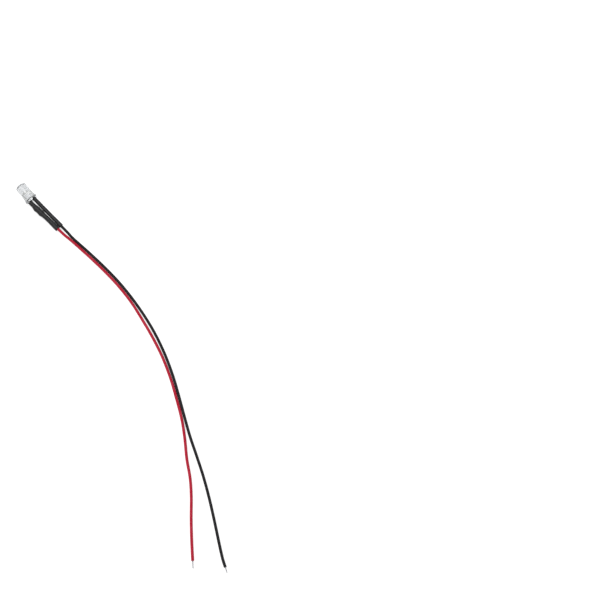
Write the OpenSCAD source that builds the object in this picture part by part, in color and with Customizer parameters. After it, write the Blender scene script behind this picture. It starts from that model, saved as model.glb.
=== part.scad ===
// Pre-wired through hole LED. A clear flat-topped LED has a resistor in one leg, a black
// heat-shrink sleeve on each leg and two thin insulated wires with tinned ends. It lies as it
// comes to rest: on the rim of its flange, on the ends of its sleeves and along its wires.
// X runs from the lens towards the wires, Z is up, and the floor is Z = 0.

/* [Lens] */
// Diameter of the clear epoxy barrel
lens_d = 5; // [4.8:0.1:5.4]
// Height of the lens from the seating face of its flange to its flat top
lens_h = 8.2; // [7:0.1:9]
// Radius that rounds the barrel into the flat top
shoulder_r = 0.9; // [0.3:0.1:1.5]
// How far the flange stands out past the barrel
flange_rim = 0.4; // [0.3:0.05:0.6]
// Height of the flange
flange_h = 1; // [0.6:0.1:1.4]
// How far the flat on the cathode side of the flange lies outside the barrel
flat_out = 0.1; // [0.05:0.05:0.2]

/* [Lead frame] */
// Distance between the centres of the two leads
pitch = 2.54; // [2.5:0.01:2.8]
// Side of the square leads, and thickness of the stamped frame
lead_w = 0.5; // [0.45:0.01:0.55]
// Height of the rim of the reflector cup above the seating face
cup_h = 4.2; // [4:0.1:4.8]
// Outer diameter of the reflector cup
cup_d = 1.4; // [1.35:0.05:1.5]
// Height of the cup's round wall above its anvil
cup_wall_h = 0.8; // [0.7:0.05:1]
// Diameter of the mouth of the reflector
mouth_d = 1.1; // [1:0.05:1.2]
// Diameter of the floor of the reflector
cup_floor_d = 0.6; // [0.5:0.05:0.7]
// Depth of the reflector
cup_depth = 0.5; // [0.4:0.05:0.6]
// Height of the wide anvil that carries the cup
anvil_h = 1.4; // [1:0.1:1.8]
// How far the anvil reaches out past the cathode lead
anvil_out = 0.25; // [0:0.05:0.4]
// How far the anvil reaches past the middle of the lens
anvil_in = 0.45; // [0.3:0.05:0.55]
// Height of the upright edges at the anvil's and the post head's sides, above their slopes
toe_h = 0.35; // [0.2:0.05:0.5]
// Gap between the head of the anode post and the cup
post_gap = 0.2; // [0.1:0.05:0.3]
// Height of the widened head of the anode post
post_head_h = 0.8; // [0.5:0.1:1.2]

/* [Chip] */
// Side of the square chip
die_w = 0.3; // [0.2:0.05:0.36]
// Thickness of the chip
die_t = 0.15; // [0.1:0.01:0.2]
// Diameter of the gold bond wire
bond_d = 0.03; // [0.03:0.005:0.05]

/* [Legs and joints] */
// Angle by which the lens is bent on its legs towards the cathode's side
head_turn = 5; // [0:0.5:8]
// Length of the cathode leg below the seating face
cathode_cut = 9; // [8:0.1:10]
// Length of the anode leg below the seating face
anode_cut = 3.1; // [3:0.1:3.8]
// Length over which two leads lie side by side in a soldered joint
lap = 2.4; // [2:0.1:2.6]
// How far the solder runs past each end of the lap
solder_over = 0.15; // [0.1:0.05:0.2]
// Thickness of the solder film between two leads in a joint
solder_film = 0.02; // [0.01:0.01:0.04]
// Thickness of the solder over the corners of a leg
solder_skin = 0.06; // [0.04:0.01:0.08]

/* [Resistor] */
// Diameter of the resistor at its end caps
res_d = 1.9; // [1.6:0.05:2]
// Diameter of the resistor at its waist
res_waist_d = 1.65; // [1.4:0.05:1.8]
// Length of the resistor's body
res_len = 3.7; // [3.2:0.1:4]
// Length of each of its wide ends
res_cap = 0.9; // [0.7:0.05:1.1]
// Diameter of the resistor's leads
res_lead_d = 0.4; // [0.36:0.01:0.45]
// Bare lead between the resistor and the bends at its front
res_straight = 0.3; // [0.2:0.05:0.5]
// Length of the bare lead behind the resistor
rear_lead_len = 3.85; // [3.4:0.05:4.2]

/* [Wires] */
// Outer diameter of the insulation
wire_d = 1.2; // [1:0.05:1.3]
// Diameter of the copper core inside
core_d = 0.4; // [0.36:0.01:0.42]
// Diameter of the tinned far ends
tin_d = 0.45; // [0.42:0.01:0.5]
// Length of the red wire's tinned end
red_tin_len = 3.1; // [2:0.1:4]
// Length of the black wire's tinned end
black_tin_len = 2.3; // [2:0.1:4]
// Radius of the two bends that bring a lead into line
bend_r = 0.8; // [0.7:0.05:0.9]

/* [Sleeves] */
// Length of the heat-shrink sleeves
sleeve_len = 18.2; // [16:0.1:20]
// Wall of the resistor's sleeve where it passes over the resistor; it is thicker elsewhere
bump_wall = 0.28; // [0.2:0.01:0.3]
// Wall of the cathode's sleeve where it grips the insulation
grip_wall = 0.24; // [0.2:0.01:0.26]
// Gap between the two sleeves at their ends, where the legs lean in towards each other
end_gap = 0.04; // [0.02:0.01:0.3]
// Gap between a sleeve and what it grips
sleeve_fit = 0.02; // [0.01:0.005:0.03]
// Length over which a sleeve narrows or widens
ramp = 0.8; // [0.6:0.1:1]

/* [Hidden] */
$fn = 48;
lens_r = lens_d / 2;
flange_r = lens_r + flange_rim;
wire_r = wire_d / 2;
// The cathode and the black wire are on the +Y side, the anode and the red wire on -Y
black = 1;
red = -1;
lead_y = pitch / 2;

// A sleeve's axis runs midway through a leg and the core that lies under it
sleeve_x = -(core_d + solder_film) / 2;
grip_bore_r = wire_r + sleeve_fit;
bump_bore_r = res_d / 2 + sleeve_fit;

// Levels along the leads, as drops below the seating face
lap_clear = 0.1;
core_straight = 0.1;
front_bend_top = anode_cut + lap_clear;
front_jog = (lead_w + res_lead_d) / 2 + solder_film + sleeve_x;
core_jog = (lead_w + core_d) / 2 + solder_film + sleeve_x;
rear_jog = (res_lead_d + core_d) / 2 + solder_film;
res_top = front_bend_top + jog_len(front_jog) + res_straight;
res_bottom = res_top + res_len;
rear_end = res_bottom + rear_lead_len;
red_bend_top = rear_end + lap_clear;
ins_top = red_bend_top + jog_len(rear_jog) + core_straight;
grip = sleeve_len - ins_top;

// Radii of the soldered joints, and of the sleeve's bore over them
leg_joint_r = norm([lead_w / 2, lead_w / 2 - sleeve_x]) + solder_skin;
rear_joint_r = (res_lead_d + core_d + solder_film) / 2 + solder_skin;
rear_joint_x = sleeve_x - (core_d + solder_film) / 2;
front_bore_r = max(leg_joint_r + sleeve_fit, grip_bore_r);
rear_bore_r = max(rear_joint_r + sleeve_x - rear_joint_x + sleeve_fit, grip_bore_r);

// A tube's section stays the same as it shrinks, so its wall grows where its bore is narrower
resistor_tube = pow(bump_bore_r + bump_wall, 2) - pow(bump_bore_r, 2);
cathode_tube = pow(grip_bore_r + grip_wall, 2) - pow(grip_bore_r, 2);
function outer_r(bore_r, tube) = sqrt(bore_r * bore_r + tube);
resistor_end_r = outer_r(grip_bore_r, resistor_tube);
cathode_end_r = outer_r(grip_bore_r, cathode_tube);
splay = asin((pitch - resistor_end_r - cathode_end_r - end_gap) / (2 * sleeve_len));
seat_gap = (lead_y + cathode_end_r) * tan(head_turn) + sleeve_fit;

// The chip's top and the post's top lie level, so the bond wire is a half circle
bond_level = cup_h - cup_depth + die_t;
post_in = cup_d / 2 + post_gap;
post_out = lead_y + lead_w / 2;
bond_span = (post_in + post_out) / 2;

// How it lies: the flange's rim and the end of the thicker sleeve are on the floor
tilt = atan((flange_r + sleeve_x - resistor_end_r) / (sleeve_len * cos(splay)));
seat_z = flange_r * norm([cos(tilt), sin(tilt) * sin(head_turn)]);
core_h = lens_h - shoulder_r;
core_r = lens_r - shoulder_r;
x_min = -core_h * cos(tilt) * cos(head_turn) - shoulder_r
    - core_r * norm([sin(tilt), cos(tilt) * sin(head_turn)]);
x_max = sleeve_len * cos(splay) * cos(tilt) + (sleeve_x + resistor_end_r) * sin(tilt);
x_mid = (x_min + x_max) / 2;
y_mid = (core_h * sin(head_turn) + core_r * cos(head_turn) + shoulder_r
    - flange_r * cos(head_turn)) / 2;

// A point of the upright LED, carried to where it lies
function lie_at(p) = [
    -p.z * cos(tilt) + p.x * sin(tilt) - x_mid,
    p.y - y_mid,
    p.z * sin(tilt) + p.x * cos(tilt) + seat_z];

// Length along a lead that its two equal and opposite bends take up to shift it sideways
function jog_angle(shift) = acos(1 - shift / (2 * bend_r));
function jog_len(shift) = 2 * bend_r * sin(jog_angle(shift));

// A point in the plane of the frame, as [y, z]: in the turned lens, or on a leaning leg at an
// offset from its axis and a drop along it
function in_lens(p) = [p.x * cos(head_turn) + p.y * sin(head_turn),
    p.y * cos(head_turn) - p.x * sin(head_turn)];
function on_leg(side, offset, drop) = let (lean = side * splay)
    [side * lead_y + offset * cos(lean) - drop * sin(lean),
        -offset * sin(lean) - drop * cos(lean)];

// Drop at which a sleeve's axis, drawn on, is as low as the middle of a wire on the floor
touch_down = (seat_z + sleeve_x * cos(tilt) - wire_r) / (sin(tilt) * cos(splay));

// Where each wire lies: down its sleeve's axis, and then along the floor
red_floor = [[21, -0.74], [31, -0.46], [41, -0.46], [51, -0.96], [61, -2.3], [71, -4.7], [80, -7.2],
    [89, -10.3], [98, -14.3], [106, -18.6], [114, -23.2], [121, -28.1], [128, -33.6], [135, -38.4],
    [141, -43.5], [147, -49.3], [153, -54.8], [160, -60.9]];
black_floor = [[21, 0.52], [31, 0.78], [41, 0.78], [51, 0.28], [61, -1], [71, -3], [80, -5.5],
    [89, -8.8], [98, -12.9], [106, -17.2], [114, -21.7], [122, -26.1], [130, -30], [138, -34],
    [146, -38.5], [154, -43.4], [162, -48.5], [167.5, -51.9], [171, -53.7]];
function route(side, floor_points) = concat(
    [for (drop = [ins_top, ins_top + grip / 2, sleeve_len, touch_down])
        let (p = on_leg(side, 0, drop)) lie_at([sleeve_x, p.x, p.y])],
    [for (p = floor_points) [p.x, p.y, wire_r]]);
red_route = route(red, red_floor);
black_route = route(black, black_floor);

// A smooth curve through the points of a route, at t from 0 to the number of its spans
function knot(p, i) =
    i < 0 ? 2 * p[0] - p[1] :
    i > len(p) - 1 ? 2 * p[len(p) - 1] - p[len(p) - 2] : p[i];
function curve(p, t) =
    let (i = min(floor(t), len(p) - 2), f = t - i,
        a = knot(p, i - 1), b = knot(p, i), c = knot(p, i + 1), d = knot(p, i + 2))
    b + f * (c - a) / 2 + f * f * (2 * a - 5 * b + 4 * c - d) / 2
    + f * f * f * (3 * (b - c) + d - a) / 2;
function unit(v) = v / norm(v);
function end_way(p) = unit(p[len(p) - 1] - p[len(p) - 2]);

// Stations of a wire's tube, each a point and its direction: one at each of the route's points
// inside the sleeve, and two to each span beyond it, none of them below the floor
function wire_stations(p) =
    let (step = 0.01, last = len(p) - 1)
    [for (t = concat([0, 1, 2, 3], [for (k = [1 : 2 * (last - 3)]) 3 + k / 2]))
        let (c = curve(p, t))
        [[c.x, c.y, max(c.z, wire_r)],
            unit(curve(p, min(t + step, last)) - curve(p, max(t - step, 0)))]];

// Stations of a lead that lies beside its mate from one drop, bends twice to reach the sleeve's
// axis and ends at another drop
function jog_stations(shift, from, bend_top, to) =
    let (angle = jog_angle(shift), reach = bend_r * sin(angle), x0 = sleeve_x - shift,
        steps = 3, down = [0, 0, -1])
    concat([[[x0, 0, -from], down]],
        [for (k = [0 : steps]) let (a = angle * k / steps)
            [[x0 + bend_r * (1 - cos(a)), 0, -bend_top - bend_r * sin(a)],
                [sin(a), 0, -cos(a)]]],
        [for (k = [steps - 1 : -1 : 0]) let (a = angle * k / steps)
            [[sleeve_x - bend_r * (1 - cos(a)), 0, -bend_top - 2 * reach + bend_r * sin(a)],
                [sin(a), 0, -cos(a)]]],
        [[[sleeve_x, 0, -to], down]]);

// Points [drop, radius] that ease from each station's radius to the next one's
function eased(stations) =
    let (steps = 6)
    concat([stations[0]],
        [for (i = [1 : len(stations) - 1], k = [1 : steps])
            let (f = k / steps, a = stations[i - 1], b = stations[i])
            if (a[1] != b[1] || k == steps)
                [a[0] + f * (b[0] - a[0]), a[1] + (b[1] - a[1]) * (1 - cos(180 * f)) / 2]]);

module lie() {
    translate([-x_mid, -y_mid, seat_z]) rotate([0, tilt - 90, 0]) children();
}

// The head is bent over on the legs, and all that is on a leg leans with it
module turn_head() {
    rotate([-head_turn, 0, 0]) children();
}

module lean(side) {
    translate([0, side * lead_y, 0]) rotate([-side * splay, 0, 0]) children();
}

// A tube through stations, with flat ends. The pole is square to every station's direction
// or nearly so, and a corner of each ring points along it.
module swept_tube(stations, r, sides, pole) {
    last = len(stations) - 1;
    points = [for (s = stations)
        let (side = unit(cross(s[1], pole)), up = cross(s[1], side))
        for (k = [0 : sides - 1]) let (a = 360 * k / sides)
            s[0] + r * (cos(a) * side + sin(a) * up)];
    polyhedron(points = points, faces = concat(
        [[for (k = [0 : sides - 1]) k]],
        [for (i = [0 : last - 1], k = [0 : sides - 1])
            let (a = i * sides + k, b = i * sides + (k + 1) % sides)
            [a, a + sides, b + sides, b]],
        [[for (k = [sides - 1 : -1 : 0]) last * sides + k]]));
}

module jogged_lead(d, shift, from, bend_top, to) {
    swept_tube(jog_stations(shift, from, bend_top, to), d / 2, 12, [1, 0, 0]);
}

// Solder that has crept along two leads: a spindle, widest in the middle
module spindle(r, x, from, to) {
    half = (to - from) / 2;
    tip = 0.6;
    steps = 8;
    translate([x, 0, -(from + to) / 2]) rotate_extrude()
        polygon(concat([[0, -half]],
            [for (k = [-steps : steps]) let (s = k / steps)
                [r * (tip + (1 - tip) * sqrt(1 - s * s)), half * s]],
            [[0, half]]));
}

// Flat lead frame metal in the plane of the leads, from its outline as points [y, z]
module stamped(outline) {
    translate([-lead_w / 2, 0, 0]) rotate([90, 0, 90]) linear_extrude(lead_w) polygon(outline);
}

module lens_body() {
    difference() {
        rotate_extrude($fn = 96) union() {
            square([flange_r, flange_h]);
            square([lens_r, lens_h - shoulder_r]);
            square([lens_r - shoulder_r, lens_h]);
            translate([lens_r - shoulder_r, lens_h - shoulder_r]) intersection() {
                circle(r = shoulder_r);
                square(shoulder_r);
            }
        }
        translate([-flange_r, lens_r + flat_out, -1])
            cube([2 * flange_r, flange_r, flange_h + 1]);
    }
}

module cathode_metal() {
    top = cup_h - cup_wall_h;
    leg_in = lead_y - lead_w / 2;
    leg_out = lead_y + lead_w / 2;
    // The anvil's metal runs up into the cup's floor
    root = cup_floor_d / 2;
    root_h = (cup_wall_h - cup_depth) / 2;
    difference() {
        union() {
            stamped(concat(
                [for (offset = [-lead_w / 2, lead_w / 2]) on_leg(black, offset, cathode_cut)],
                [for (p = [[leg_out, 0], [leg_out, top - anvil_h],
                    [leg_out + anvil_out, top - anvil_h + anvil_out], [leg_out + anvil_out, top],
                    [root, top], [root, top + root_h], [-root, top + root_h], [-root, top],
                    [-anvil_in, top], [-anvil_in, top - toe_h], [leg_in, top - anvil_h],
                    [leg_in, 0]]) in_lens(p)]));
            turn_head() translate([0, 0, top]) cylinder(d = cup_d, h = cup_wall_h);
        }
        turn_head() translate([0, 0, cup_h - cup_depth])
            cylinder(d1 = cup_floor_d, d2 = mouth_d, h = cup_depth);
    }
}

module anode_metal() {
    stamped(concat(
        [for (offset = [-lead_w / 2, lead_w / 2]) on_leg(red, offset, anode_cut)],
        [for (p = [[lead_w - post_out, 0], [lead_w - post_out, bond_level - post_head_h],
            [-post_in, bond_level - toe_h], [-post_in, bond_level], [-post_out, bond_level],
            [-post_out, 0]]) in_lens(p)]));
}

module chip() {
    turn_head() translate([-die_w / 2, -die_w / 2, cup_h - cup_depth]) cube([die_w, die_w, die_t]);
}

// The bond wire, or the hole for it, which runs on by an angle into the chip and the post
module bond(run_on = 0) {
    turn_head() translate([0, -bond_span / 2, bond_level])
        rotate([90, 0, 90]) rotate([0, 0, -run_on]) rotate_extrude(angle = 180 + 2 * run_on)
        translate([bond_span / 2, 0]) circle(d = bond_d, $fn = 24);
}

module front_lead_rod() {
    lean(red) jogged_lead(res_lead_d, front_jog, anode_cut - lap, front_bend_top, res_top);
}

module rear_lead_rod() {
    lean(red) translate([sleeve_x, 0, -rear_end])
        cylinder(d = res_lead_d, h = rear_end - res_bottom);
}

module red_core_rod() {
    lean(red) jogged_lead(core_d, rear_jog, rear_end - lap, red_bend_top, ins_top);
}

module black_core_rod() {
    lean(black)
        jogged_lead(core_d, core_jog, cathode_cut - lap, cathode_cut + lap_clear, ins_top);
}

// A heat-shrink tube from a list of [drop, bore radius] and the section of its wall
module shrunk_tube(side, stations, tube) {
    bore = eased(stations);
    n = len(bore) - 1;
    lean(side) translate([sleeve_x, 0, 0]) rotate_extrude()
        polygon(concat(
            [for (p = bore) [p[1], -p[0]]],
            [for (i = [n : -1 : 0]) [outer_r(bore[i][1], tube), -bore[i][0]]]));
}

module wire(p) {
    swept_tube(wire_stations(p), wire_r, 8, [0, 0, 1]);
}

// The stripped and tinned far end of a wire, on the end of its route
module tinned_end(p, length) {
    way = end_way(p);
    chamfer = tin_d / 4;
    translate(p[len(p) - 1]) rotate([0, 90, atan2(way.y, way.x)]) {
        cylinder(d = tin_d, h = length - chamfer);
        translate([0, 0, length - chamfer])
            cylinder(d1 = tin_d, d2 = tin_d - 2 * chamfer, h = chamfer, $fn = 32);
    }
}

module lens() {
    color([0.86, 0.88, 0.9, 0.45]) lie() difference() {
        turn_head() lens_body();
        cathode_metal();
        anode_metal();
        chip();
        bond(run_on = 3);
    }
}

module cathode_lead() {
    color("silver") lie() cathode_metal();
}

module anode_lead() {
    color("silver") lie() anode_metal();
}

module led_chip() {
    color("khaki") lie() chip();
}

module bond_wire() {
    color("gold") lie() bond();
}

module resistor_body() {
    edge = 0.25;
    end_r = res_d / 2;
    waist_r = res_waist_d / 2;
    profile = eased([[res_top, end_r - edge], [res_top + edge, end_r],
        [res_top + res_cap - edge, end_r], [res_top + res_cap, waist_r],
        [res_bottom - res_cap, waist_r], [res_bottom - res_cap + edge, end_r],
        [res_bottom - edge, end_r], [res_bottom, end_r - edge]]);
    color("lightskyblue") lie() lean(red) translate([sleeve_x, 0, 0]) rotate_extrude()
        polygon(concat([[0, -res_top]], [for (p = profile) [p[1], -p[0]]], [[0, -res_bottom]]));
}

module resistor_front_lead() {
    color("lightgray") lie() front_lead_rod();
}

module resistor_rear_lead() {
    color("lightgray") lie() rear_lead_rod();
}

module anode_solder_joint() {
    color("gainsboro") lie() difference() {
        lean(red) spindle(leg_joint_r, sleeve_x, anode_cut - lap - solder_over,
            anode_cut + solder_over);
        anode_metal();
        front_lead_rod();
    }
}

module red_solder_joint() {
    color("gainsboro") lie() difference() {
        lean(red) spindle(rear_joint_r, rear_joint_x, rear_end - lap - solder_over,
            rear_end + solder_over);
        rear_lead_rod();
        red_core_rod();
    }
}

module black_solder_joint() {
    color("gainsboro") lie() difference() {
        lean(black) spindle(leg_joint_r, sleeve_x, cathode_cut - lap - solder_over,
            cathode_cut + solder_over);
        cathode_metal();
        black_core_rod();
    }
}

module red_core() {
    color("peru") lie() red_core_rod();
}

module black_core() {
    color("peru") lie() black_core_rod();
}

module resistor_sleeve() {
    color([0.12, 0.12, 0.12]) lie() shrunk_tube(red, [
        [sleeve_fit, front_bore_r], [res_top - ramp, front_bore_r], [res_top, bump_bore_r],
        [res_bottom, bump_bore_r], [res_bottom + ramp, rear_bore_r],
        [ins_top - ramp, rear_bore_r], [ins_top, grip_bore_r], [sleeve_len, grip_bore_r]],
        resistor_tube);
}

module cathode_sleeve() {
    color([0.12, 0.12, 0.12]) lie() shrunk_tube(black, [
        [seat_gap, front_bore_r], [ins_top - ramp, front_bore_r], [ins_top, grip_bore_r],
        [sleeve_len, grip_bore_r]], cathode_tube);
}

module red_wire() {
    color("crimson") wire(red_route);
}

module black_wire() {
    color([0.17, 0.17, 0.17]) wire(black_route);
}

module red_tinned_end() {
    color("silver") tinned_end(red_route, red_tin_len);
}

module black_tinned_end() {
    color("silver") tinned_end(black_route, black_tin_len);
}

lens();
cathode_lead();
anode_lead();
led_chip();
bond_wire();
resistor_body();
resistor_front_lead();
resistor_rear_lead();
anode_solder_joint();
red_solder_joint();
black_solder_joint();
red_core();
black_core();
resistor_sleeve();
cathode_sleeve();
red_wire();
black_wire();
red_tinned_end();
black_tinned_end();
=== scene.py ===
import math

import bmesh
import bpy
from mathutils import Matrix, Vector


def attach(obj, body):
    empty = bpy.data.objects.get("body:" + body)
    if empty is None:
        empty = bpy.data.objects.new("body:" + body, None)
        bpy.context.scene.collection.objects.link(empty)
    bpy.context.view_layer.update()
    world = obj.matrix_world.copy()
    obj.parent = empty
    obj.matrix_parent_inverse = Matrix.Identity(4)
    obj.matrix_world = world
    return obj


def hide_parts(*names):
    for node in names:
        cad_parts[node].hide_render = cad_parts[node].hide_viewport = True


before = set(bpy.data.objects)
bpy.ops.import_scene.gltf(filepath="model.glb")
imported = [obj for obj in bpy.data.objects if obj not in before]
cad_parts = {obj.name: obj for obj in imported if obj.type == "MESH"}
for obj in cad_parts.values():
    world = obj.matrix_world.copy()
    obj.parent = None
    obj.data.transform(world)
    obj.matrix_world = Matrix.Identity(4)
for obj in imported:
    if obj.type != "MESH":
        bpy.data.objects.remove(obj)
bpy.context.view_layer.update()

# The view: down on the surface at 66 degrees, past the wires towards the LED, through a long lens
# whose 23 degrees take in the wires from end to end. Film and lens are in millimetres.
look_at = Vector((0.1111, 0.04878, 0))
view_height = math.radians(66)
view_heading = Vector((-0.702, 0.712, 0)).normalized()
view_distance = 0.6279
film_width, focal_length = 36, 88.8
away = view_heading * math.cos(view_height) - Vector((0, 0, math.sin(view_height)))
bpy.ops.object.camera_add(location=look_at - away * view_distance)
camera = bpy.context.object
camera.rotation_euler = away.to_track_quat("-Z", "Y").to_euler()
camera.data.sensor_width = film_width
camera.data.lens = focal_length
camera.data.clip_start = 0.01
bpy.context.scene.camera = camera
bpy.context.scene.view_settings.view_transform = "Standard"

# The two wires: stranded copper in extruded PVC, one red and one black, 1.2 mm across. Each runs
# straight out of its sleeve, comes down to the surface and lies on it in one lazy curve. The third
# point of each route is where the wire leaves its sleeve.
mm = 0.001
merge_distance = 0.001 * mm
insulation_r = 0.6 * mm
routes_mm = {
    "red": [(8.203, -1.16, 1.46), (10.689, -1.116, 1.229), (13.176, -1.072, 0.999),
            (17.478, -0.996, 0.6), (21, -0.74, 0.6), (31, -0.46, 0.6), (41, -0.46, 0.6),
            (51, -0.96, 0.6), (61, -2.3, 0.6), (71, -4.7, 0.6), (80, -7.2, 0.6), (89, -10.3, 0.6),
            (98, -14.3, 0.6), (106, -18.6, 0.6), (114, -23.2, 0.6), (121, -28.1, 0.6),
            (128, -33.6, 0.6), (135, -38.4, 0.6), (141, -43.5, 0.6), (147, -49.3, 0.6),
            (153, -54.8, 0.6), (160, -60.9, 0.6)],
    "black": [(8.203, 0.918, 1.46), (10.689, 0.875, 1.229), (13.176, 0.831, 0.999),
              (17.478, 0.755, 0.6), (21, 0.52, 0.6), (31, 0.78, 0.6), (41, 0.78, 0.6),
              (51, 0.28, 0.6), (61, -1, 0.6), (71, -3, 0.6), (80, -5.5, 0.6), (89, -8.8, 0.6),
              (98, -12.9, 0.6), (106, -17.2, 0.6), (114, -21.7, 0.6), (122, -26.1, 0.6),
              (130, -30, 0.6), (138, -34, 0.6), (146, -38.5, 0.6), (154, -43.4, 0.6),
              (162, -48.5, 0.6), (167.5, -51.9, 0.6), (171, -53.7, 0.6)],
}


def along(points, steps):
    """Points of the smooth line through a wire's points, so many to each span, none of them lower
    than a wire that lies on the surface."""
    ends = [2 * points[0] - points[1], *points, 2 * points[-1] - points[-2]]
    line = []
    for a, b, c, d in zip(ends, ends[1:], ends[2:], ends[3:]):
        for i in range(steps):
            f = i / steps
            line.append(b + f * (c - a) / 2 + f * f * (2 * a - 5 * b + 4 * c - d) / 2
                        + f ** 3 * (3 * (b - c) + d - a) / 2)
    line.append(points[-1])
    for p in line:
        p.z = max(p.z, insulation_r)
    return line


def linear(colour):
    """A colour written as sRGB hex, as the shader wants it."""
    parts = [int(colour[i:i + 2], 16) / 255 for i in (1, 3, 5)]
    return [c / 12.92 if c <= 0.04045 else ((c + 0.055) / 1.055) ** 2.4 for c in parts] + [1]


def cells(size_mm):
    """The scale of a noise whose patches are so many millimetres across."""
    return 1000 / size_mm


def add_node(owner, kind, settings=(), links=()):
    """A shader node of one kind, with its settings and with the sockets that feed it. A Mix node
    of colours takes them in its sockets 6 and 7, and gives their mix from its output 2."""
    node = owner.node_tree.nodes.new(kind)
    for name, value in dict(settings).items():
        if isinstance(name, str) and hasattr(node, name):
            setattr(node, name, value)
        else:
            node.inputs[name].default_value = value
    for name, socket in dict(links).items():
        owner.node_tree.links.new(socket, node.inputs[name])
    return node


def begin_material(name):
    """A new material, and the coordinates that its patterns can follow."""
    material = bpy.data.materials.new(name)
    material.use_nodes = True
    return material, add_node(material, "ShaderNodeTexCoord").outputs


def dress(material, constants=(), links=()):
    """Sets the constants of a material's own shader, and links what feeds its other sockets."""
    shader = material.node_tree.nodes["Principled BSDF"]
    for name, value in dict(constants).items():
        shader.inputs[name].default_value = value
    for name, socket in dict(links).items():
        material.node_tree.links.new(socket, shader.inputs[name])


def extruded_pvc(name, colour, rubbed):
    """Soft PVC, extruded over the strands: a satin skin with a fine pebble from the die, paler
    where it was rubbed, that shows the strands under it faintly."""
    pvc, place = begin_material(name)
    # Rubbed places of about 4 mm
    rub = add_node(pvc, "ShaderNodeTexNoise", {"Scale": cells(3.85), "Detail": 3},
                   {"Vector": place["Object"]})
    paler = add_node(pvc, "ShaderNodeMapRange", {"From Min": 0.45, "From Max": 0.8},
                     {"Value": rub.outputs["Fac"]})
    tint = add_node(pvc, "ShaderNodeMix", {"data_type": "RGBA", 6: linear(colour), 7: linear(rubbed)},
                    {0: paler.outputs[0]})
    gloss = add_node(pvc, "ShaderNodeMapRange", {"To Min": 0.39, "To Max": 0.56},
                     {"Value": rub.outputs["Fac"]})
    # The strands make ridges 0.15 mm apart over the core, almost straight along the wire. The wave
    # gives one ridge to two units of its vector, so there are ten round the wire.
    lengthwise, round_wire = 7, 19
    ridges = add_node(pvc, "ShaderNodeMapping", {"Scale": (lengthwise, round_wire, 1)},
                      {"Vector": place["UV"]})
    strands = add_node(pvc, "ShaderNodeTexWave",
                       {"bands_direction": "DIAGONAL", "Scale": 0.32, "Distortion": 0.6},
                       {"Vector": ridges.outputs[0]})
    lay = add_node(pvc, "ShaderNodeBump", {"Strength": 0.25, "Distance": 0.03 * mm},
                   {"Height": strands.outputs["Fac"]})
    pebble = add_node(pvc, "ShaderNodeTexNoise", {"Scale": cells(0.125), "Detail": 2},
                      {"Vector": place["Object"]})
    skin = add_node(pvc, "ShaderNodeBump", {"Strength": 0.2, "Distance": 0.01 * mm},
                    {"Height": pebble.outputs["Fac"], "Normal": lay.outputs[0]})
    dress(pvc, {"IOR": 1.53, "Specular IOR Level": 0.14},
          {"Base Color": tint.outputs[2], "Roughness": gloss.outputs[0], "Normal": skin.outputs[0]})
    return pvc


def insulated_wire(colour, pvc):
    """One wire's insulation, drawn along its line, with the end that was stripped slightly rounded."""
    span_steps, end_round, end_taper = 8, 0.08 * mm, 0.9
    line = along([Vector(p) * mm for p in routes_mm[colour]], span_steps)
    last = line[-1] - (line[-1] - line[-2]).normalized() * end_round
    drawn = line[:-1] + [last, line[-1]]
    shape = bpy.data.curves.new(colour + "_insulation", "CURVE")
    shape.dimensions = "3D"
    shape.bevel_depth = insulation_r
    shape.bevel_resolution = 6
    shape.use_fill_caps = True
    spline = shape.splines.new("POLY")
    spline.points.add(len(drawn) - 1)
    for point, place in zip(spline.points, drawn):
        point.co = (*place, 1)
    spline.points[len(drawn) - 1].radius = end_taper
    wire = bpy.data.objects.new(colour + "_insulation", shape)
    bpy.context.scene.collection.objects.link(wire)
    bpy.ops.object.select_all(action="DESELECT")
    wire.select_set(True)
    bpy.context.view_layer.objects.active = wire
    bpy.ops.object.convert(target="MESH")
    bpy.ops.object.mode_set(mode="EDIT")
    bpy.ops.mesh.select_all(action="SELECT")
    bpy.ops.mesh.remove_doubles(threshold=merge_distance)
    bpy.ops.mesh.normals_make_consistent(inside=False)
    bpy.ops.object.mode_set(mode="OBJECT")
    bpy.ops.object.shade_smooth_by_angle(angle=math.radians(40))
    wire.data.materials.append(pvc)
    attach(wire, "root")
    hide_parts(colour + "_wire")
    return wire, line


red_pvc = extruded_pvc("red_extruded_pvc", "#C21B37", "#CE384F")
black_pvc = extruded_pvc("black_extruded_pvc", "#141316", "#222124")
red_insulation, red_line = insulated_wire("red", red_pvc)
black_insulation, black_line = insulated_wire("black", black_pvc)

# The far ends: seven copper strands, six twisted round one, dipped in tin so that they hold as
# one stiff pin. The tin fills the grooves between the strands and rounds the cut tip.
tinned_length = {"red": 3.1 * mm, "black": 2.3 * mm}
bundle_r = 0.222 * mm


def metal(name, colour, dull, roughness, patch_mm, relief):
    """A bare, plated or dipped metal: bright patches and duller ones that stand a little proud."""
    made, place = begin_material(name)
    patch = add_node(made, "ShaderNodeTexNoise", {"Scale": cells(patch_mm), "Detail": 3},
                     {"Vector": place["Object"]})
    tint = add_node(made, "ShaderNodeMix", {"data_type": "RGBA", 6: linear(colour), 7: linear(dull)},
                    {0: patch.outputs["Fac"]})
    gloss = add_node(made, "ShaderNodeMapRange", {"To Min": roughness[0], "To Max": roughness[1]},
                     {"Value": patch.outputs["Fac"]})
    bump = add_node(made, "ShaderNodeBump", {"Strength": relief, "Distance": 0.01 * mm},
                    {"Height": patch.outputs["Fac"]})
    dress(made, {"Metallic": 1},
          {"Base Color": tint.outputs[2], "Roughness": gloss.outputs[0], "Normal": bump.outputs[0]})
    return made


# Tin from a hand-dipped coat: grey, and dull in patches of a third of a millimetre
tin = metal("tinned_copper_strand", "#A4A5A8", "#7E7F82", (0.22, 0.45), 1 / 3, 0.4)


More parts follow.
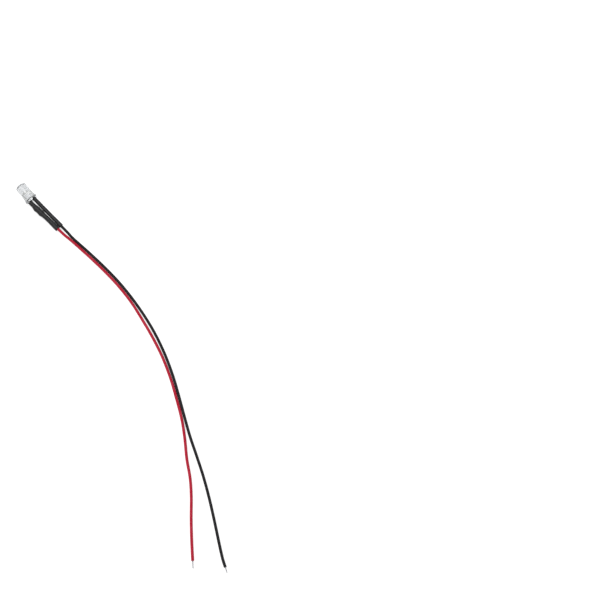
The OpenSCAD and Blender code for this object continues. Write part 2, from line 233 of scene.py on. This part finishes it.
def tinned_pin(colour, line):
    """Twisted strands from just inside the insulation to the tip, grown a slice at a time."""
    slices, tip_slices, tip_taper = 22, 2, 0.86
    inside, lay_length = 0.4 * mm, 4.5 * mm
    outer_strands, strand_corners = 6, 6
    slice_length = (tinned_length[colour] + inside) / slices
    turn = Matrix.Rotation(math.tau * slice_length / lay_length, 3, "Z")
    bpy.ops.object.select_all(action="DESELECT")
    bpy.ops.mesh.primitive_circle_add(vertices=outer_strands * strand_corners, radius=bundle_r,
                                      fill_type="NGON", location=(0, 0, -inside))
    pin = bpy.context.object
    pin.name = colour + "_tinned_strands"
    bpy.ops.object.transform_apply(location=True)
    bpy.ops.object.mode_set(mode="EDIT")
    bpy.ops.mesh.select_mode(type="VERT")
    # Where two strands meet, a corner sinks between them, and its neighbours follow halfway
    for sunk, depth in ((0, 0.84), (1, 0.93), (strand_corners - 1, 0.93)):
        bpy.ops.mesh.select_all(action="DESELECT")
        shape = bmesh.from_edit_mesh(pin.data)
        shape.verts.ensure_lookup_table()
        for i, corner in enumerate(shape.verts):
            corner.select = i % strand_corners == sunk
        shape.select_flush_mode()
        bpy.ops.transform.resize(value=(depth, depth, 1), center_override=(0, 0, -inside))
    bpy.ops.mesh.select_all(action="SELECT")
    height = -inside
    for i in range(slices):
        height += slice_length
        bpy.ops.mesh.extrude_region_move(TRANSFORM_OT_translate={"value": (0, 0, slice_length)})
        shape = bmesh.from_edit_mesh(pin.data)
        tip = [corner for corner in shape.verts if corner.select]
        bmesh.ops.rotate(shape, cent=(0, 0, height), matrix=turn, verts=tip)
        bmesh.update_edit_mesh(pin.data)
        if i >= slices - tip_slices:
            bpy.ops.transform.resize(value=(tip_taper, tip_taper, 1), center_override=(0, 0, height))
    bpy.ops.mesh.select_all(action="SELECT")
    bpy.ops.mesh.normals_make_consistent(inside=False)
    bpy.ops.object.mode_set(mode="OBJECT")
    way = (line[-1] - line[-2]).normalized()
    pin.matrix_world = Matrix.Translation(line[-1]) @ way.to_track_quat("Z", "Y").to_matrix().to_4x4()
    bpy.ops.object.transform_apply()
    bpy.ops.object.shade_smooth_by_angle(angle=math.radians(50))
    pin.data.materials.append(tin)
    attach(pin, "root")
    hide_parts(colour + "_tinned_end")
    return pin


red_pin = tinned_pin("red", red_line)
black_pin = tinned_pin("black", black_line)

# The surface and the light: a white board under one broad soft lamp and an even pale surround.
# What the camera, a reflection or the clear lens sees of them is white, and shadows stay.
middle = Vector((0.08, -0.03, 0))
bpy.ops.object.select_all(action="DESELECT")
bpy.ops.mesh.primitive_plane_add(size=6, location=middle)
board = bpy.context.object
board.name = "white_board"


def looked_at(owner):
    """One for what the camera, a reflection or the clear lens sees, and nought for light."""
    rays = add_node(owner, "ShaderNodeLightPath").outputs
    seen = rays["Is Camera Ray"]
    for ray in ("Is Glossy Ray", "Is Transmission Ray"):
        seen = add_node(owner, "ShaderNodeMath", {"operation": "MAXIMUM"},
                        {0: seen, 1: rays[ray]}).outputs[0]
    return seen


# Matt white card, with hardly any sheen
card = begin_material("matt_white_card")[0]
card_lift = add_node(card, "ShaderNodeMath", {"operation": "MULTIPLY", 1: 0.62}, {0: looked_at(card)})
dress(card, {"Base Color": linear("#E6E6E6"), "Roughness": 0.9, "Specular IOR Level": 0.1,
             "Emission Color": (1, 1, 1, 1)}, {"Emission Strength": card_lift.outputs[0]})
board.data.materials.append(card)

surround = bpy.data.worlds.new("pale_surround")
surround.use_nodes = True
bpy.context.scene.world = surround
surround_level = add_node(surround, "ShaderNodeMapRange", {"To Min": 0.5, "To Max": 1},
                          {"Value": looked_at(surround)})
sky = surround.node_tree.nodes["Background"]
sky.inputs["Color"].default_value = (1, 1, 1, 1)
surround.node_tree.links.new(surround_level.outputs[0], sky.inputs["Strength"])

bpy.ops.object.light_add(type="AREA", location=(-0.22, -0.04, 0.8))
lamp = bpy.context.object
lamp.name = "soft_lamp"
lamp.rotation_euler = (middle - lamp.location).to_track_quat("-Z", "Y").to_euler()
lamp.data.size = 0.7
lamp.data.energy = 3.1

# The LED is made upright, nose up and leads down, and then laid on the rim of its flange and the
# end of its thicker sleeve, 5.3 degrees off the surface. Its head is bent over on the legs by 5
# degrees, and each leg leans in by 1 degree, so that the sleeves almost touch at their ends.
tilt, head_bend, splay = math.radians(5.296566), math.radians(5), math.radians(1.002734)
seat = (-0.004924414, -0.000120592, 0.002887712)
lead_y = 0.00127
cathode_side, anode_side = 1, -1
lie = Matrix.Translation(seat) @ Matrix.Rotation(tilt - math.pi / 2, 4, "Y")
bent = Matrix.Rotation(-head_bend, 4, "X")
leaning = {side: Matrix.Translation((0, side * lead_y, 0)) @ Matrix.Rotation(-side * splay, 4, "X")
           for side in (cathode_side, anode_side)}


def lay_down(piece, place):
    """Puts an upright piece where it lies, and leaves its place in its mesh."""
    bpy.ops.object.select_all(action="DESELECT")
    piece.select_set(True)
    bpy.context.view_layer.objects.active = piece
    piece.matrix_world = lie @ place @ piece.matrix_world
    bpy.ops.object.transform_apply()


# The two sleeves: black polyolefin heat-shrink, cut square and shrunk in hot air over each leg,
# its joint and the first of the wire. The anode's is a wider tube that also goes over the
# resistor, whose two wide ends show through it.
sleeve_axis = -0.21 * mm
sleeve_sides, cut_edge = 48, 0.03 * mm
# Rings down each outside and back up its bore: millimetres below the LED's seat, radius, and how
# much more the ring stands out on its outer side
resistor_outside = [
    (0.5, 1, 0), (1.2, 1, 0), (2.2, 1.02, 0), (2.9, 1.035, 0.035), (3.3, 1.045, 0.08), (3.7, 1.085, 0.14),
    (4.05, 1.175, 0.19), (4.35, 1.25, 0.2), (4.7, 1.285, 0.18), (5.1, 1.29, 0.16), (5.5, 1.275, 0.13),
    (5.9, 1.24, 0.11), (6.4, 1.235, 0.095), (6.9, 1.255, 0.11), (7.3, 1.29, 0.14), (7.7, 1.3, 0.17),
    (8.05, 1.28, 0.18), (8.4, 1.205, 0.15), (8.75, 1.135, 0.09), (9.15, 1.09, 0.05), (10.2, 1.07, 0.015),
    (11.9, 1.075, -0.02), (12.5, 1.075, -0.01), (12.9, 1.06, 0.01), (13.3, 1.045, 0.04),
    (14.4, 1.045, 0.085), (15.6, 1.04, 0.15), (16.9, 1.02, 0.23), (18.2, 1.003, 0.27)]
resistor_bore = [
    (18.2, 0.66, 0.21), (16, 0.65, 0.15), (13.2, 0.63, 0.04), (12.4, 0.7, 0), (8.9, 0.7, 0),
    (8.15, 0.99, 0.16), (4.3, 0.99, 0.16), (3.6, 0.62, 0), (0.5, 0.62, 0)]
cathode_outside = [
    (0.22, 0.86, 0), (1.2, 0.86, 0), (3, 0.896, -0.04), (5.5, 0.9, -0.05), (6.4, 0.908, -0.05),
    (7.6, 0.91, -0.05), (9, 0.898, -0.04), (10.2, 0.878, -0.03), (11.8, 0.886, -0.04),
    (12.6, 0.9, -0.03), (13.2, 0.91, -0.01), (15.5, 0.898, 0.05), (16.9, 0.88, 0.06),
    (17.6, 0.865, 0.07), (18.2, 0.86, 0.06)]
cathode_bore = [(18.2, 0.62, 0.05), (13.2, 0.62, 0), (0.22, 0.62, 0)]

# Hot air leaves polyolefin with a grain of 0.1 mm and cloudy satin patches of a millimetre or so, which
# are glossier in some places than in others. The colour is paler in the same patches. That paleness is
# painted sheen, standing in for small satin highlights.
shrink, shrink_place = begin_material("shrunk_polyolefin_tube")
shrink_cloud = add_node(shrink, "ShaderNodeTexNoise", {"Scale": cells(1.11), "Detail": 2},
                        {"Vector": shrink_place["Object"]})
shrink_grain = add_node(shrink, "ShaderNodeTexNoise", {"Scale": cells(0.1), "Detail": 3},
                        {"Vector": shrink_place["Object"]})
shrink_patch = add_node(shrink, "ShaderNodeMapRange", {"From Min": 0.36, "From Max": 0.64},
                        {"Value": shrink_cloud.outputs["Fac"]})
# Near-black, with paler colour in the cloudy patches: painted sheen in place of small satin highlights
shrink_tint_with_painted_sheen = add_node(shrink, "ShaderNodeMix",
                       {"data_type": "RGBA", 6: linear("#0E0D0F"), 7: linear("#2B2A2D")},
                       {0: shrink_patch.outputs[0]})
shrink_gloss = add_node(shrink, "ShaderNodeMapRange", {"To Min": 0.28, "To Max": 0.48},
                        {"Value": shrink_patch.outputs[0]})
shrink_dent = add_node(shrink, "ShaderNodeBump", {"Strength": 0.3, "Distance": 0.06 * mm},
                       {"Height": shrink_cloud.outputs["Fac"]})
shrink_bump = add_node(shrink, "ShaderNodeBump", {"Strength": 0.35, "Distance": 0.01 * mm},
                       {"Height": shrink_grain.outputs["Fac"], "Normal": shrink_dent.outputs[0]})
dress(shrink, {"IOR": 1.5, "Specular IOR Level": 0.25},
      {"Base Color": shrink_tint_with_painted_sheen.outputs[2], "Roughness": shrink_gloss.outputs[0],
       "Normal": shrink_bump.outputs[0]})


def use_modifier(piece, kind, **settings):
    """Adds a modifier with its settings and applies it."""
    bpy.context.view_layer.objects.active = piece
    modifier = piece.modifiers.new(kind.lower(), kind)
    for name, value in settings.items():
        setattr(modifier, name, value)
    bpy.ops.object.modifier_apply(modifier=modifier.name)


def shrunk_sleeve(name, node, side, outside, bore):
    """A tube grown ring by ring down its outside and back up its bore, with faint ripples outside.
    What it stands out by widens a ring and moves it outwards, so that its inner side stays."""
    longest_part = 0.35
    ripple_length, ripple_height = 1.6 * mm, 0.04 * mm
    bpy.ops.object.select_all(action="DESELECT")
    bpy.ops.mesh.primitive_circle_add(vertices=sleeve_sides, radius=outside[0][1] * mm,
                                      location=(sleeve_axis, 0, -outside[0][0] * mm))
    sleeve = bpy.context.object
    sleeve.name = name
    bpy.ops.object.transform_apply(location=True)
    bpy.ops.object.mode_set(mode="EDIT")
    bpy.ops.mesh.select_all(action="SELECT")
    rings = 1
    for way in (outside, [outside[-1]] + bore + [outside[0]]):
        for ring, next_ring in zip(way, way[1:]):
            parts = max(1, round(abs(next_ring[0] - ring[0]) / longest_part)) if way is outside else 1
            before = Vector(ring) * mm
            step = (Vector(next_ring) * mm - before) / parts
            for i in range(parts):
                after = before + step
                bpy.ops.mesh.extrude_region_move(
                    TRANSFORM_OT_translate={"value": (0, side * step.z / 2, -step.x)})
                bpy.ops.transform.resize(
                    value=(after.y / before.y, (after.y + after.z / 2) / (before.y + before.z / 2), 1),
                    center_override=(sleeve_axis, side * after.z / 2, -after.x))
                before = after
                rings += way is outside
    bpy.ops.object.mode_set(mode="OBJECT")
    skin = sleeve.vertex_groups.new(name="skin")
    skin.add(range(rings * sleeve_sides), 1, "REPLACE")
    bpy.ops.object.mode_set(mode="EDIT")
    bpy.ops.mesh.select_all(action="SELECT")
    bpy.ops.mesh.remove_doubles(threshold=merge_distance)
    bpy.ops.mesh.normals_make_consistent(inside=False)
    bpy.ops.object.mode_set(mode="OBJECT")
    ripple = bpy.data.textures.new(name + "_ripple", "CLOUDS")
    ripple.noise_scale = ripple_length
    ripple.noise_depth = 1
    use_modifier(sleeve, "DISPLACE", texture=ripple, strength=ripple_height, mid_level=0.5,
                 texture_coords="LOCAL", vertex_group="skin")
    use_modifier(sleeve, "BEVEL", width=cut_edge, segments=2, limit_method="ANGLE",
                 angle_limit=math.radians(60))
    lay_down(sleeve, leaning[side])
    bpy.ops.object.shade_smooth_by_angle(angle=math.radians(40))
    sleeve.data.materials.append(shrink)
    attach(sleeve, "root")
    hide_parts(node)


shrunk_sleeve("resistor_heat_shrink", "resistor_sleeve", anode_side, resistor_outside, resistor_bore)
shrunk_sleeve("cathode_heat_shrink", "cathode_sleeve", cathode_side, cathode_outside, cathode_bore)

# The lens: water-clear epoxy, cast round the lead frame in a polished mould. The barrel ends in a
# flat top with a rounded shoulder, and its flange is cut flat on the cathode's side.
lens_r, lens_height, shoulder = 2.5 * mm, 8.2 * mm, 1.1 * mm
flange_r, flange_height, flat_y = 2.9 * mm, 1 * mm, 2.6 * mm
lens_sides, shoulder_steps, edge_round = 128, 14, 0.06 * mm
bpy.ops.object.select_all(action="DESELECT")
bpy.ops.mesh.primitive_cylinder_add(vertices=lens_sides, radius=flange_r, depth=flange_height,
                                    location=(0, 0, flange_height / 2))
lens = bpy.context.object
lens.name = "cast_lens"
bpy.ops.object.transform_apply(location=True)
bpy.ops.object.mode_set(mode="EDIT")
bpy.ops.mesh.select_mode(type="FACE")
bpy.ops.mesh.select_all(action="DESELECT")
shape = bmesh.from_edit_mesh(lens.data)
for face in shape.faces:
    face.select = face.normal.z > 0.9
bmesh.update_edit_mesh(lens.data)
bpy.ops.mesh.inset(thickness=flange_r - lens_r)
bpy.ops.mesh.extrude_region_move(TRANSFORM_OT_translate={"value": (0, 0, lens_height - flange_height)})
bpy.ops.mesh.region_to_loop()
bpy.ops.mesh.bevel(offset=shoulder, segments=shoulder_steps)
bpy.ops.mesh.select_mode(type="FACE")
bpy.ops.mesh.select_all(action="SELECT")
bpy.ops.mesh.bisect(plane_co=(0, flat_y, 0), plane_no=(0, 1, 0), clear_outer=True)
bpy.ops.mesh.edge_face_add()
bpy.ops.mesh.select_all(action="SELECT")
bpy.ops.mesh.normals_make_consistent(inside=False)
bpy.ops.object.mode_set(mode="OBJECT")
use_modifier(lens, "BEVEL", width=edge_round, segments=3, limit_method="ANGLE",
             angle_limit=math.radians(60))
lay_down(lens, bent)
bpy.ops.object.shade_smooth_by_angle(angle=math.radians(35))
# Cast epoxy is almost colourless. In patches of a millimetre the mould's polish left its skin a
# little soft and uneven.
epoxy, epoxy_place = begin_material("cast_clear_epoxy")
epoxy_skin = add_node(epoxy, "ShaderNodeTexNoise", {"Scale": cells(1.11), "Detail": 2},
                      {"Vector": epoxy_place["Object"]})
epoxy_gloss = add_node(epoxy, "ShaderNodeMapRange", {"To Min": 0.06, "To Max": 0.16},
                       {"Value": epoxy_skin.outputs["Fac"]})
epoxy_bump = add_node(epoxy, "ShaderNodeBump", {"Strength": 0.15, "Distance": 0.02 * mm},
                      {"Height": epoxy_skin.outputs["Fac"]})
dress(epoxy, {"Base Color": linear("#DFE1E3"), "Transmission Weight": 0.76, "IOR": 1.54},
      {"Roughness": epoxy_gloss.outputs[0], "Normal": epoxy_bump.outputs[0]})
lens.data.materials.append(epoxy)
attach(lens, "root")
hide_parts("lens")


# The lead frame: iron strip stamped into the anvil with its reflector cup, the slim post and the
# two square legs, then plated with silver, which is bright and almost white.
def finish_node(name, material):
    """Gives a piece that stays as it was built its finish."""
    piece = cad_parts[name]
    piece.data.materials.clear()
    piece.data.materials.append(material)


silver = metal("silver_plated_stamping", "#E0E0DD", "#CCCCC9", (0.22, 0.42), 0.3, 0.3)
finish_node("cathode_lead", silver)
finish_node("anode_lead", silver)

# The chip and the bond wire: a die, sawn so that its sides are dull grey, glued into the cup, and
# one thread of drawn gold, looped from its top over the cup's rim to the post.
gold = metal("drawn_gold_thread", "#E6BE6A", "#D9AF58", (0.12, 0.32), 0.1, 0.3)
finish_node("bond_wire", gold)
die = metal("sawn_die", "#6F7076", "#4E5056", (0.22, 0.42), 0.08, 0.3)
finish_node("led_chip", die)

# The joints: the legs, the resistor's leads and the wires' bare copper cores lie side by side in
# laps of solder, which flowed round them and set bright grey.
solder = metal("reflowed_solder", "#C8C9CB", "#A9AAAD", (0.22, 0.42), 0.3, 0.3)
copper = metal("bare_copper_core", "#C98A62", "#B0714C", (0.26, 0.46), 0.2, 0.3)
for name in ("anode_solder_joint", "red_solder_joint", "black_solder_joint"):
    finish_node(name, solder)
for name in ("red_core", "black_core"):
    finish_node(name, copper)

# The resistor: a ceramic rod dipped in pale blue lacquer, which is glossy and faintly mottled, and
# painted with four bands. A tinned lead comes out of each end.
for name in ("resistor_front_lead", "resistor_rear_lead"):
    finish_node(name, tin)
coat, coat_place = begin_material("dipped_resistor_lacquer")
coat_mottle = add_node(coat, "ShaderNodeTexNoise", {"Scale": cells(0.4), "Detail": 2},
                       {"Vector": coat_place["Object"]})
coat_tint = add_node(coat, "ShaderNodeMix",
                     {"data_type": "RGBA", 6: linear("#8FB4C6"), 7: linear("#A3C3D2")},
                     {0: coat_mottle.outputs["Fac"]})
# How far along its body a place is, from nought to one
body_top, body_length = 4.374 * mm, 3.7 * mm
body_end = lie @ leaning[anode_side] @ Vector((sleeve_axis, 0, -body_top))
body_way = (lie @ leaning[anode_side]).to_3x3() @ Vector((0, 0, -1))
coat_from = add_node(coat, "ShaderNodeVectorMath", {"operation": "SUBTRACT", 1: body_end},
                     {0: coat_place["Object"]})
coat_along = add_node(coat, "ShaderNodeVectorMath",
                      {"operation": "DOT_PRODUCT", 1: body_way / body_length}, {0: coat_from.outputs[0]})
# Each band by where it starts and ends along the body, and its colour
bands = [(0.14, 0.23, "#E3C21E"), (0.34, 0.43, "#5B2C86"),
         (0.54, 0.63, "#5E3318"), (0.78, 0.87, "#B08A3C")]
coat_band = add_node(coat, "ShaderNodeValToRGB", links={"Fac": coat_along.outputs["Value"]})
stops = coat_band.color_ramp
stops.interpolation = "CONSTANT"
stops.elements.remove(stops.elements[-1])
stops.elements[0].color = (0, 0, 0, 0)
for start, end, colour in bands:
    stops.elements.new(start).color = linear(colour)
    stops.elements.new(end).color = (0, 0, 0, 0)
coat_paint = add_node(coat, "ShaderNodeMix", {"data_type": "RGBA"},
                      {0: coat_band.outputs["Alpha"], 6: coat_tint.outputs[2],
                       7: coat_band.outputs["Color"]})
dress(coat, {"Roughness": 0.35}, {"Base Color": coat_paint.outputs[2]})
finish_node("resistor_body", coat)
